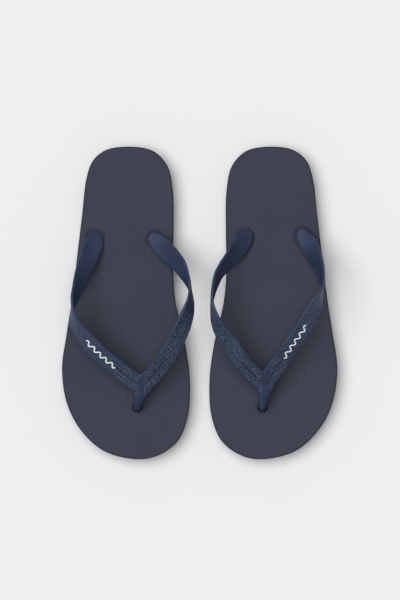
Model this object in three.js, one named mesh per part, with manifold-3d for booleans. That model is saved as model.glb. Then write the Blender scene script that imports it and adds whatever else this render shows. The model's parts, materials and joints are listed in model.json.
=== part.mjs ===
// A pair of thong flip flops: a laminated foam sole with a one-piece moulded Y strap in each.
// Millimetres, +Z up, heels toward +Y and toes toward -Y. The origin is under the middle of the pair.
// Each shoe is drawn in its own frame as a right shoe, with its medial side toward +X. The left shoe
// is then mirrored. The two soles are mirror images, and the soft straps lie a little differently.

import * as THREE from "three";
import { mergeVertices } from "three/addons/utils/BufferGeometryUtils.js";
import Module from "manifold-3d";

// Overall sizes.
const SOLE_LENGTH = 280;
const BALL_WIDTH = 115;
const HEEL_WIDTH = 81;
const HEEL_OFFSET = 2; // how far the heel lies to the medial side of the ball
const PAIR_GAP = 17; // between the two soles at the ball

// The three cemented layers of the sole, from the floor up.
const OUTSOLE_THICKNESS = 3.5;
const MIDSOLE_THICKNESS = 7.9;
const FOOTBED_THICKNESS = 4;
const EDGE_ROUNDING = 1.3; // on the top edge of the footbed and the bottom edge of the outsole
const CONTACT_GAP = 0.3; // between pieces that touch

const MIDSOLE_BASE = OUTSOLE_THICKNESS + CONTACT_GAP;
const FOOTBED_BASE = MIDSOLE_BASE + MIDSOLE_THICKNESS + CONTACT_GAP;
const FOOTBED_TOP = FOOTBED_BASE + FOOTBED_THICKNESS;

// The line across the ball of the foot where the sole bends, and the joint at the footbed surface.
const FLEX_LINE = -0.17 * SOLE_LENGTH;

// The strap: its section, its three anchors in the sole and the height of its instep.
const STRAP_WIDTH = 18;
const STRAP_THICKNESS = 3;
const INSTEP_HEIGHT = 34; // of the arms' middle line over the footbed
const YOKE_HEIGHT = 17; // of the same line over the footbed where the arms meet
const TOE_POST_DIAMETER = 7.6;
const NECK_DIAMETER = 8;
const PLUG_DIAMETER = 20;
const PLUG_THICKNESS = 2.8;
const HOLE_CLEARANCE = 0.3; // all round a neck or post
const WELL_CLEARANCE = 1; // all round a plug

const TOE_ANCHOR = new THREE.Vector2(10, -0.334 * SOLE_LENGTH);
const YOKES = {
  right: new THREE.Vector2(14.8, -0.266 * SOLE_LENGTH),
  left: new THREE.Vector2(8, -0.259 * SOLE_LENGTH),
};
const ANCHORS_REAR = {
  lateral: new THREE.Vector2(-27, 0.212 * SOLE_LENGTH),
  medial: new THREE.Vector2(25, 0.207 * SOLE_LENGTH),
};

// The wavy line in relief on the lateral arm.
const MARK_LENGTH = 36;
const MARK_HEIGHT = 5;
const MARK_STROKE = 1.3;
const MARK_RELIEF = 0.5;
const MARK_WAVES = 5;
const MARK_FROM_YOKE = 30; // along the arm's middle line

const wasm = await Module();
wasm.setup();

// --- Solids -------------------------------------------------------------------------------------

/** A geometry whose seams and caps share their corners. A shape is welded before it is bent. */
function welded(geometry) {
  geometry.deleteAttribute("normal");
  geometry.deleteAttribute("uv");
  return mergeVertices(geometry, 1e-4);
}

/** A manifold solid from a closed geometry. */
function solid(geometry) {
  const closed = geometry.attributes.normal ? welded(geometry) : geometry;
  return new wasm.Manifold(
    new wasm.Mesh({
      numProp: 3,
      vertProperties: new Float32Array(closed.attributes.position.array),
      triVerts: new Uint32Array(closed.index.array),
    }),
  );
}

/** A geometry with flat shading from a manifold solid. */
function geometryOf(manifold) {
  const { vertProperties, triVerts } = manifold.getMesh();
  const geometry = new THREE.BufferGeometry();
  geometry.setAttribute("position", new THREE.BufferAttribute(vertProperties, 3));
  geometry.setIndex(new THREE.BufferAttribute(triVerts, 1));
  geometry.computeVertexNormals();
  return geometry;
}

/** An upright cylinder between two heights. */
function upright(centre, diameter, bottom, top) {
  const cylinder = new THREE.CylinderGeometry(diameter / 2, diameter / 2, top - bottom, 24);
  cylinder.rotateX(Math.PI / 2);
  cylinder.translate(centre.x, centre.y, (bottom + top) / 2);
  return solid(cylinder);
}

/** The same geometry with its faces turned to the other side. */
function turnedInsideOut(geometry) {
  const corners = geometry.index.array;
  for (let i = 0; i < corners.length; i += 3) {
    [corners[i], corners[i + 1]] = [corners[i + 1], corners[i]];
  }
  return geometry;
}

/** The mirror image of a geometry in the plane between the shoes. */
function mirrored(geometry) {
  const mirror = turnedInsideOut(geometry.clone().scale(-1, 1, 1));
  mirror.computeVertexNormals();
  return mirror;
}

// --- Sole ---------------------------------------------------------------------------------------

/** A point of the outline by the ball's half width and the sole's half length. */
const ball = (across, along) =>
  new THREE.Vector3((across * BALL_WIDTH) / 2, (along * SOLE_LENGTH) / 2, 0);

/** A point of the outline by the heel's half width and the sole's half length. */
const heel = (across, along) =>
  new THREE.Vector3(HEEL_OFFSET + (across * HEEL_WIDTH) / 2, (along * SOLE_LENGTH) / 2, 0);

/** The sole's outline, a closed curve from the back of the heel down the medial side and round. */
function soleOutline() {
  const points = [
    heel(0, 1), heel(0.55, 0.972), heel(0.87, 0.875), heel(0.985, 0.72), heel(1, 0.46), heel(0.99, 0.2),
    ball(0.775, 0), ball(0.92, -0.26), ball(0.995, -0.5), ball(0.955, -0.74), ball(0.77, -0.9),
    ball(0.34, -0.995), ball(-0.3, -0.955), ball(-0.69, -0.82), ball(-0.92, -0.64), ball(-0.995, -0.42),
    ball(-0.925, -0.2), ball(-0.835, 0.04),
    heel(-1.12, 0.32), heel(-1.02, 0.56), heel(-0.92, 0.8), heel(-0.78, 0.91), heel(-0.5, 0.977),
  ];
  const curve = new THREE.CatmullRomCurve3(points, true, "centripetal");
  const corners = curve.getSpacedPoints(96).slice(0, -1);
  return new THREE.Shape(corners.map((corner) => new THREE.Vector2(corner.x, corner.y)));
}

/** A slice of space between two heights and two places along the shoe, wider than a shoe. */
function slice(bottom, top, toeEnd, heelEnd) {
  const box = new THREE.BoxGeometry(3 * BALL_WIDTH, heelEnd - toeEnd, top - bottom);
  box.translate(0, (toeEnd + heelEnd) / 2, (bottom + top) / 2);
  return solid(box);
}

/** The holes through a layer for the strap's three anchors. */
function anchorHoles(bottom, top, toeDiameter, rearDiameter) {
  return upright(TOE_ANCHOR, toeDiameter, bottom - 1, top + 1)
    .add(upright(ANCHORS_REAR.lateral, rearDiameter, bottom - 1, top + 1))
    .add(upright(ANCHORS_REAR.medial, rearDiameter, bottom - 1, top + 1));
}

/** One layer of the sole, in two parts that meet at the flex line. */
function layer({ bottom, thickness, rounding, holes: [toeDiameter, rearDiameter] }) {
  const top = bottom + thickness;
  const plate = new THREE.ExtrudeGeometry(soleOutline(), {
    depth: 2 * thickness,
    bevelThickness: rounding,
    bevelSize: rounding,
    bevelOffset: -rounding,
    bevelSegments: 3,
    bevelEnabled: rounding > 0,
  });
  // The plate is twice as thick as the layer, and one of its rounded faces is the layer's.
  const roundedBelow = bottom === 0;
  plate.translate(0, 0, roundedBelow ? bottom + rounding : top - rounding - 2 * thickness);
  const whole = solid(plate).subtract(anchorHoles(bottom, top, toeDiameter, rearDiameter));
  const behind = slice(bottom, top, FLEX_LINE + CONTACT_GAP / 2, SOLE_LENGTH);
  const ahead = slice(bottom, top, -SOLE_LENGTH, FLEX_LINE - CONTACT_GAP / 2);
  return { rear: geometryOf(whole.intersect(behind)), fore: geometryOf(whole.intersect(ahead)) };
}

/** The footbed, midsole and outsole of a right shoe, each in two parts. */
function soleLayers() {
  const shaftHoles = [TOE_POST_DIAMETER + 2 * HOLE_CLEARANCE, NECK_DIAMETER + 2 * HOLE_CLEARANCE];
  const wells = [PLUG_DIAMETER + 2 * WELL_CLEARANCE, PLUG_DIAMETER + 2 * WELL_CLEARANCE];
  return {
    footbed: layer({
      bottom: FOOTBED_BASE, thickness: FOOTBED_THICKNESS, rounding: EDGE_ROUNDING, holes: shaftHoles,
    }),
    midsole: layer({
      bottom: MIDSOLE_BASE, thickness: MIDSOLE_THICKNESS, rounding: 0, holes: shaftHoles,
    }),
    outsole: layer({ bottom: 0, thickness: OUTSOLE_THICKNESS, rounding: EDGE_ROUNDING, holes: wells }),
  };
}

// --- Strap --------------------------------------------------------------------------------------

/**
 * A station on an arm's middle line, by half ball widths, half sole lengths and instep heights. The
 * tilt turns the arm's flat side from face up at 0 degrees, through on edge at 90, to face down.
 */
const via = (across, along, lift, tilt) => ({
  at: new THREE.Vector3(
    (across * BALL_WIDTH) / 2,
    (along * SOLE_LENGTH) / 2,
    FOOTBED_TOP + lift * INSTEP_HEIGHT,
  ),
  tilt,
});

const ARM_STATIONS = {
  right: {
    lateral: [
      via(-0.243, -0.371, 0.73, 34), via(-0.47, -0.286, 0.86, 34), via(-0.65, -0.203, 0.93, 45),
      via(-0.78, -0.125, 0.95, 60), via(-0.815, -0.06, 0.92, 79), via(-0.79, 0.021, 0.83, 106),
      via(-0.73, 0.1, 0.69, 124), via(-0.666, 0.181, 0.53, 140), via(-0.583, 0.277, 0.33, 155),
      via(-0.515, 0.355, 0.17, 165),
    ],
    medial: [
      via(0.52, -0.407, 0.71, 30), via(0.69, -0.309, 0.86, 32), via(0.815, -0.209, 0.96, 34),
      via(0.905, -0.126, 1, 43), via(0.98, -0.036, 0.99, 60), via(1.01, 0.03, 0.95, 77),
      via(0.99, 0.11, 0.85, 97), via(0.86, 0.226, 0.6, 130), via(0.72, 0.295, 0.41, 147),
      via(0.585, 0.35, 0.24, 160),
    ],
  },
  left: {
    lateral: [
      via(-0.075, -0.385, 0.66, 33), via(-0.265, -0.268, 0.8, 38), via(-0.454, -0.154, 0.92, 38),
      via(-0.563, -0.07, 0.98, 42), via(-0.647, -0.006, 1, 55), via(-0.711, 0.055, 0.97, 74),
      via(-0.743, 0.106, 0.92, 92), via(-0.718, 0.201, 0.72, 112), via(-0.659, 0.278, 0.48, 130),
      via(-0.574, 0.349, 0.25, 148),
    ],
    medial: [
      via(0.43, -0.404, 0.69, 33), via(0.556, -0.337, 0.8, 37), via(0.68, -0.249, 0.9, 41),
      via(0.812, -0.181, 0.97, 50), via(0.885, -0.121, 1, 63), via(0.929, -0.062, 1, 76),
      via(0.958, 0.01, 0.96, 90), via(0.877, 0.161, 0.78, 111), via(0.788, 0.224, 0.62, 122),
      via(0.647, 0.294, 0.42, 138), via(0.537, 0.356, 0.26, 152),
    ],
  },
};
const YOKE_TILT = 26;
const TIP_TILT = 172;
const TIP_OVERHANG = 5; // of the rounded arm end past its neck

/** One arm as a twisting band: where its middle line runs and how its section is turned there. */
class Arm {
  constructor(foot, name) {
    this.side = name === "medial" ? 1 : -1;
    const yoke = new THREE.Vector3(YOKES[foot].x, YOKES[foot].y, FOOTBED_TOP + YOKE_HEIGHT);
    const stations = ARM_STATIONS[foot][name];
    const last = stations[stations.length - 1].at;
    const anchor = ANCHORS_REAR[name];
    const tip = new THREE.Vector3(anchor.x - last.x, anchor.y - last.y, 0);
    tip.setLength(tip.length() + TIP_OVERHANG);
    tip.add(last).setZ(FOOTBED_TOP + CONTACT_GAP + STRAP_THICKNESS / 2);
    const points = [yoke, ...stations.map((station) => station.at), tip];
    const tilts = [YOKE_TILT, ...stations.map((station) => station.tilt), TIP_TILT];
    this.path = new THREE.CatmullRomCurve3(points, false, "centripetal");
    this.twist = new THREE.CatmullRomCurve3(
      tilts.map((tilt) => new THREE.Vector3(tilt, 0, 0)), false, "catmullrom",
    );
    this.roundFrom = 1 - 1 / (points.length - 1);
  }

  /** The middle of the band at t, with its directions along, across toward the foot, and out of it. */
  frame(t) {
    const along = this.path.getTangent(t);
    const level = new THREE.Vector3(-along.y, along.x, 0).normalize().multiplyScalar(this.side);
    const up = new THREE.Vector3().crossVectors(along, level).multiplyScalar(this.side);
    const tilt = THREE.MathUtils.degToRad(this.twist.getPoint(t).x);
    const across = level.clone().multiplyScalar(Math.cos(tilt)).addScaledVector(up, Math.sin(tilt));
    const out = up.clone().multiplyScalar(Math.cos(tilt)).addScaledVector(level, -Math.sin(tilt));
    return { middle: this.path.getPoint(t), across, out };
  }

  /** The band's width at t, which closes to a round end at the rear. */
  width(t) {
    const into = Math.max(0, (t - this.roundFrom) / (1 - this.roundFrom));
    return STRAP_WIDTH * Math.max(0.2, Math.sqrt(1 - into * into));
  }

  /** Bends a geometry onto the band: place gives t, across and out for a vertex. */
  wrap(geometry, place) {
    const position = geometry.attributes.position;
    const vertex = new THREE.Vector3();
    for (let i = 0; i < position.count; i++) {
      vertex.fromBufferAttribute(position, i);
      const { t, across, out } = place(vertex);
      const frame = this.frame(t);
      vertex.copy(frame.middle).addScaledVector(frame.across, across).addScaledVector(frame.out, out);
      position.setXYZ(i, vertex.x, vertex.y, vertex.z);
    }
    return this.side > 0 ? geometry : turnedInsideOut(geometry);
  }

  /** The band as a closed solid with a softly rounded rectangular section. */
  band() {
    const soften = (value) => Math.sign(value) * Math.abs(value) ** 0.45;
    return this.wrap(welded(new THREE.CylinderGeometry(1, 1, 1, 12, 40)), (vertex) => {
      const t = Math.sin(((0.5 - vertex.y) * Math.PI) / 2);
      return {
        t,
        across: (soften(vertex.x) * this.width(t)) / 2,
        out: (soften(vertex.z) * STRAP_THICKNESS) / 2,
      };
    });
  }
}

/** The toe post above the footbed, a round bar that leans forward from the yoke. */
function leaningPost(foot) {
  const place = (share, lift) =>
    new THREE.Vector3(
      THREE.MathUtils.lerp(YOKES[foot].x, TOE_ANCHOR.x, share),
      THREE.MathUtils.lerp(YOKES[foot].y, TOE_ANCHOR.y, share),
      FOOTBED_TOP + lift,
    );
  const route = new THREE.CatmullRomCurve3([
    place(0.1, YOKE_HEIGHT - 1), place(0.5, 0.75 * YOKE_HEIGHT), place(0.88, 0.4 * YOKE_HEIGHT),
    place(1, 2.4), place(1, 0.4),
  ]);
  const section = new THREE.Shape().absarc(0, 0, TOE_POST_DIAMETER / 2, 0, 2 * Math.PI, false);
  return new THREE.ExtrudeGeometry(section, {
    steps: 12,
    curveSegments: 6,
    bevelEnabled: false,
    extrudePath: route,
  });
}

/** The pad where the two arms and the toe post meet. */
function yokePad(foot) {
  const pad = new THREE.SphereGeometry(1, 16, 10);
  const reach = STRAP_WIDTH / 2;
  pad.scale(reach, reach, 0.7 * STRAP_THICKNESS);
  pad.rotateX(THREE.MathUtils.degToRad(YOKE_TILT));
  pad.translate(YOKES[foot].x, YOKES[foot].y, FOOTBED_TOP + YOKE_HEIGHT);
  return pad;
}

/** The whole moulded strap: arms, pad, toe post, rear necks and the three plugs under the midsole. */
function strap(foot, arms) {
  const plugTop = MIDSOLE_BASE - CONTACT_GAP;
  const overlap = PLUG_THICKNESS / 2; // by which a shaft runs into its plug
  const neckTop = FOOTBED_TOP + CONTACT_GAP + STRAP_THICKNESS / 2;
  const pieces = [
    solid(arms.lateral.band()),
    solid(arms.medial.band()),
    solid(yokePad(foot)),
    solid(leaningPost(foot)),
    upright(TOE_ANCHOR, TOE_POST_DIAMETER, plugTop - overlap, FOOTBED_TOP + 1),
    upright(ANCHORS_REAR.lateral, NECK_DIAMETER, plugTop - overlap, neckTop),
    upright(ANCHORS_REAR.medial, NECK_DIAMETER, plugTop - overlap, neckTop),
  ];
  for (const anchor of [TOE_ANCHOR, ANCHORS_REAR.lateral, ANCHORS_REAR.medial]) {
    pieces.push(upright(anchor, PLUG_DIAMETER, plugTop - PLUG_THICKNESS, plugTop));
  }
  return geometryOf(pieces.reduce((whole, piece) => whole.add(piece)));
}

/** The wavy line in relief on the outer face of an arm. */
function strapMark(arm) {
  const swing = (MARK_HEIGHT - MARK_STROKE) / 2;
  const pace = (2 * Math.PI * MARK_WAVES) / MARK_LENGTH;
  const line = welded(new THREE.BoxGeometry(MARK_LENGTH, MARK_STROKE, MARK_RELIEF, 48, 1, 1));
  const length = arm.path.getLength();
  const wrapped = arm.wrap(line, (vertex) => {
    const slope = Math.atan(swing * pace * Math.cos(pace * vertex.x));
    const distance = MARK_FROM_YOKE + MARK_LENGTH / 2 + vertex.x - vertex.y * Math.sin(slope);
    return {
      t: arm.path.getUtoTmapping(distance / length),
      across: swing * Math.sin(pace * vertex.x) + vertex.y * Math.cos(slope),
      out: STRAP_THICKNESS / 2 + CONTACT_GAP + MARK_RELIEF / 2 + vertex.z,
    };
  });
  return geometryOf(solid(wrapped));
}

// --- Assembly -----------------------------------------------------------------------------------

const colours = {
  footbed: 0x3f4252,
  midsole: 0x3a3d4c,
  outsole: 0x2f323e,
  strap: 0x35405c,
  mark: 0xe8e9ec,
};
const finishes = {
  footbed: { color: colours.footbed, roughness: 0.85, metalness: 0 },
  midsole: { color: colours.midsole, roughness: 0.8, metalness: 0 },
  outsole: { color: colours.outsole, roughness: 0.7, metalness: 0 },
  strap: { color: colours.strap, roughness: 0.5, metalness: 0 },
  mark: { color: colours.mark, roughness: 0.4, metalness: 0 },
};

/** The pieces of one shoe by name, drawn as a right shoe, each with its finish. */
function shoePieces(foot, layers) {
  const arms = { lateral: new Arm(foot, "lateral"), medial: new Arm(foot, "medial") };
  const pieces = [];
  for (const [name, halves] of Object.entries(layers)) {
    for (const [half, geometry] of Object.entries(halves)) {
      pieces.push({ name: `${half}_${name}`, geometry, finish: name });
    }
  }
  pieces.push({ name: "strap", geometry: strap(foot, arms), finish: "strap" });
  pieces.push({ name: "strap_mark", geometry: strapMark(arms.lateral), finish: "mark" });
  return pieces;
}

const pair = new THREE.Group();
const layers = soleLayers();
for (const foot of ["right", "left"]) {
  const shoe = new THREE.Group();
  shoe.position.x = ((foot === "right" ? -1 : 1) * (BALL_WIDTH + PAIR_GAP)) / 2;
  for (const { name, geometry, finish } of shoePieces(foot, layers)) {
    const shape = foot === "right" ? geometry : mirrored(geometry);
    const mesh = new THREE.Mesh(shape, new THREE.MeshStandardMaterial(finishes[finish]));
    mesh.name = `${foot}_${name}`;
    shoe.add(mesh);
  }
  pair.add(shoe);
}

export default pair;
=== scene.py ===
"""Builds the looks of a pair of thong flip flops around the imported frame.

Each shoe has a laminated foam sole of three layers, a one-piece moulded Y strap and a wavy line in relief
on its lateral arm. Everything is in metres, in the frame of the CAD model: heels toward +Y, toes toward -Y.
A shoe is drawn in its own frame as a right shoe with its medial side toward +X, and set down in its place.
"""

import json
import logging
import math
from dataclasses import dataclass, field
from enum import Enum

import bmesh
import bpy
import numpy as np
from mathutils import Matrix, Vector


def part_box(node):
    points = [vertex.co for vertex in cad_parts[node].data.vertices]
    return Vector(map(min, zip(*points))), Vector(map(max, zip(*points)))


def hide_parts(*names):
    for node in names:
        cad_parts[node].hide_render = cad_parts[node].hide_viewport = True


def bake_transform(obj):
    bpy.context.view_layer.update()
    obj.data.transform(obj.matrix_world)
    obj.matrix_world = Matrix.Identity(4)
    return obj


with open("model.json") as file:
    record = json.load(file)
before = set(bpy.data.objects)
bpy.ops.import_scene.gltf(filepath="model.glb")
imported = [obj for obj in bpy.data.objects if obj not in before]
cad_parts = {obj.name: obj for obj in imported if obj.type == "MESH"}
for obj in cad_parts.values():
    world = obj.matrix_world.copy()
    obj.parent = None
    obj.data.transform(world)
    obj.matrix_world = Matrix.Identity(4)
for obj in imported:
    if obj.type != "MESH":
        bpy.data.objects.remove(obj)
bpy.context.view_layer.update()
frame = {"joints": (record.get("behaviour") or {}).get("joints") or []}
LOG = logging.getLogger("flip_flops")
MM = 0.001

Colour = tuple[float, float, float, float]
Fade = tuple[float, float]  # Where a change starts and where it is complete.
Span = tuple[float, float]  # The least and the most of a value.
Solid = tuple[np.ndarray, list[list[int]]]  # Rows of corners, and the corner numbers of each face.
Socket = bpy.types.NodeSocket
Value = Socket | float | Colour


class Foot(Enum):
    """Which foot a shoe is for, with the side of the pair that it stands on."""

    RIGHT = -1
    LEFT = 1

    @property
    def word(self) -> str:
        """The word that starts the names of the shoe's pieces."""
        return self.name.lower()


class Side(Enum):
    """A side of the foot, with its direction along X in the shoe's own frame."""

    LATERAL = -1
    MEDIAL = 1


# --- Curves and meshes ----------------------------------------------------------------------------------


@dataclass
class Spline:
    """A centripetal Catmull-Rom curve through points, which the CAD model uses too."""

    points: np.ndarray
    closed: bool = False
    fineness: int = 40

    def at(self, t: np.ndarray) -> np.ndarray:
        """Points of the curve.

        Args:
            t: Places along the curve, from 0 to 1, an equal share to each stretch between points.

        Returns:
            One row for each place.
        """
        points, count = self.points, len(self.points)
        stretches = count if self.closed else count - 1
        place = np.clip(np.asarray(t, float), 0, 1) * stretches
        start = np.minimum(place.astype(int), stretches - 1)
        local = (place - start)[:, None]
        if self.closed:
            before, here, there, after = (points[(start + step) % count] for step in (-1, 0, 1, 2))
        else:
            first = 2 * points[0] - points[1]
            last = 2 * points[-1] - points[-2]
            padded = np.vstack([first, points, last])
            before, here, there, after = (padded[start + step] for step in (0, 1, 2, 3))
        into, over, onward = (np.linalg.norm(b - a, axis=1, keepdims=True) ** 0.5
                              for a, b in ((before, here), (here, there), (there, after)))
        leave = (here - before) / into - (there - before) / (into + over) + (there - here) / over
        arrive = (there - here) / over - (after - here) / (over + onward) + (after - there) / onward
        leave, arrive = leave * over, arrive * over
        curve = here + leave * local + (3 * (there - here) - 2 * leave - arrive) * local**2
        return curve + (2 * (here - there) + leave + arrive) * local**3

    def evenly(self, count: int) -> np.ndarray:
        """Points spaced evenly by length.

        Args:
            count: How many points; on a closed curve the last isn't the first again.

        Returns:
            One row for each point.
        """
        fine = np.linspace(0, 1, self.fineness * len(self.points) + 1)
        run = run_along(self.at(fine))
        wanted = np.linspace(0, run[-1], count + 1 if self.closed else count)
        t = np.interp(wanted, run, fine)
        return self.at(t[:-1] if self.closed else t)


def run_along(line: np.ndarray) -> np.ndarray:
    """The distance from the start of a line to each of its points."""
    return np.concatenate([[0], np.cumsum(np.linalg.norm(np.diff(line, axis=0), axis=1))])


def unit(rows: np.ndarray) -> np.ndarray:
    """Directions of length one."""
    return rows / np.linalg.norm(rows, axis=1, keepdims=True)


def smooth_step(value: np.ndarray, low: float, high: float) -> np.ndarray:
    """An S-shaped rise from 0 at low to 1 at high."""
    share = np.clip((value - low) / (high - low), 0, 1)
    return share * share * (3 - 2 * share)


def bump(distance: np.ndarray, half_width: float, softness: float) -> np.ndarray:
    """A flat-topped ridge: 1 within half_width of its middle, falling to 0 over softness."""
    return 1 - smooth_step(np.abs(distance), half_width, half_width + softness)


def new_mesh(name: str, vertices: np.ndarray, faces: list[list[int]]) -> bpy.types.Object:
    """A smooth-shaded mesh object in the scene.

    Args:
        name: The piece's name.
        vertices: One row for each corner.
        faces: Corner numbers of each face.

    Returns:
        The object.
    """
    mesh = bpy.data.meshes.new(name)
    mesh.from_pydata([tuple(v) for v in vertices], [], faces)
    mesh.validate()
    piece = bpy.data.objects.new(name, mesh)
    bpy.context.scene.collection.objects.link(piece)
    face_outward(piece)
    return piece


def face_outward(piece: bpy.types.Object) -> None:
    """Turns every face of a closed mesh outward and shades it smoothly.

    Args:
        piece: The object to change.
    """
    work = bmesh.new()
    work.from_mesh(piece.data)
    bmesh.ops.recalc_face_normals(work, faces=work.faces)
    work.to_mesh(piece.data)
    work.free()
    piece.data.shade_smooth()


def split_large_faces(piece: bpy.types.Object) -> None:
    """Splits faces of many corners into triangles, so that they bend well.

    Args:
        piece: The object to change.
    """
    work = bmesh.new()
    work.from_mesh(piece.data)
    large = [face for face in work.faces if len(face.verts) > 4]
    bmesh.ops.triangulate(work, faces=large)
    work.to_mesh(piece.data)
    work.free()
    piece.data.shade_smooth()


def corners_of(piece: bpy.types.Object) -> np.ndarray:
    """The corners of a mesh.

    Args:
        piece: The object to read.

    Returns:
        One row for each corner.
    """
    flat = np.empty(len(piece.data.vertices) * 3, np.float32)
    piece.data.vertices.foreach_get("co", flat)
    return flat.reshape(-1, 3).astype(float)


def move_corners(piece: bpy.types.Object, vertices: np.ndarray) -> None:
    """Puts the corners of a mesh at new places."""
    piece.data.vertices.foreach_set("co", vertices.astype(np.float32).ravel())


def mark_corners(piece: bpy.types.Object, name: str, values: np.ndarray) -> None:
    """Stores a number at each corner of a mesh, for its finish to read."""
    attribute = piece.data.attributes.new(name, "FLOAT", "POINT")
    attribute.data.foreach_set("value", values.astype(np.float32))


def bake_modifiers(piece: bpy.types.Object) -> None:
    """Replaces a piece's mesh by the one that its modifiers make.

    Args:
        piece: The object to change.
    """
    view = bpy.context.evaluated_depsgraph_get()
    view.update()
    finished = bpy.data.meshes.new_from_object(piece.evaluated_get(view))
    piece.modifiers.clear()
    raw, piece.data = piece.data, finished
    bpy.data.meshes.remove(raw)
    finished.name = piece.name


def cut_away(piece: bpy.types.Object, cutters: list[bpy.types.Object]) -> None:
    """Cuts other solids out of a piece and removes them.

    Args:
        piece: The object to cut.
        cutters: The solids to cut out of it.
    """
    for cutter in cutters:
        cut = piece.modifiers.new("cut", "BOOLEAN")
        cut.operation, cut.solver, cut.object = "DIFFERENCE", "EXACT", cutter
    bake_modifiers(piece)
    for cutter in cutters:
        bpy.data.objects.remove(cutter)


def tube_faces(rings: int, around: int) -> list[list[int]]:
    """The faces of a tube of rings of corners, closed by one face at each end.

    Args:
        rings: How many rings.
        around: Corners in each ring.

    Returns:
        Corner numbers of each face.
    """
    faces = []
    for ring in range(rings - 1):
        low, high = ring * around, (ring + 1) * around
        for k in range(around):
            after = (k + 1) % around
            faces.append([low + k, low + after, high + after, high + k])
    faces.append(list(range(around))[::-1])
    faces.append([(rings - 1) * around + k for k in range(around)])
    return faces


def lofted(sections: np.ndarray) -> Solid:
    """A closed tube through sections.

    Args:
        sections: An array of section, corner and coordinate.

    Returns:
        The corners and the faces.
    """
    rings, around, _ = sections.shape
    return sections.reshape(-1, 3), tube_faces(rings, around)


def superellipse(across: float, through: float, corners: int, squareness: float) -> np.ndarray:
    """A soft rectangle.

    Args:
        across: Its half width.
        through: Its half thickness.
        corners: How many corners round it.
        squareness: 2 for an ellipse, more for a squarer shape.

    Returns:
        Rows of across and through.
    """
    angle = np.linspace(0, 2 * math.pi, corners, endpoint=False)
    power = 2 / squareness
    cosine, sine = np.cos(angle), np.sin(angle)
    return np.column_stack([
        across * np.sign(cosine) * np.abs(cosine) ** power,
        through * np.sign(sine) * np.abs(sine) ** power,
    ])


def cutting_rod(x: float, y: float, radius: float, heights: tuple[float, float]) -> bpy.types.Object:
    """A round solid that stands up, to cut a hole with.

    Args:
        x: Its axis from side to side.
        y: Its axis from toe to heel.
        radius: Its radius.
        heights: Its bottom and its top.

    Returns:
        The object.
    """
    around = 48
    ring = superellipse(radius, radius, around, squareness=2)
    sections = np.array([[[x + u, y + v, z] for u, v in ring] for z in heights])
    return new_mesh("cutter", *lofted(sections))


# --- Finishes -------------------------------------------------------------------------------------------


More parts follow.
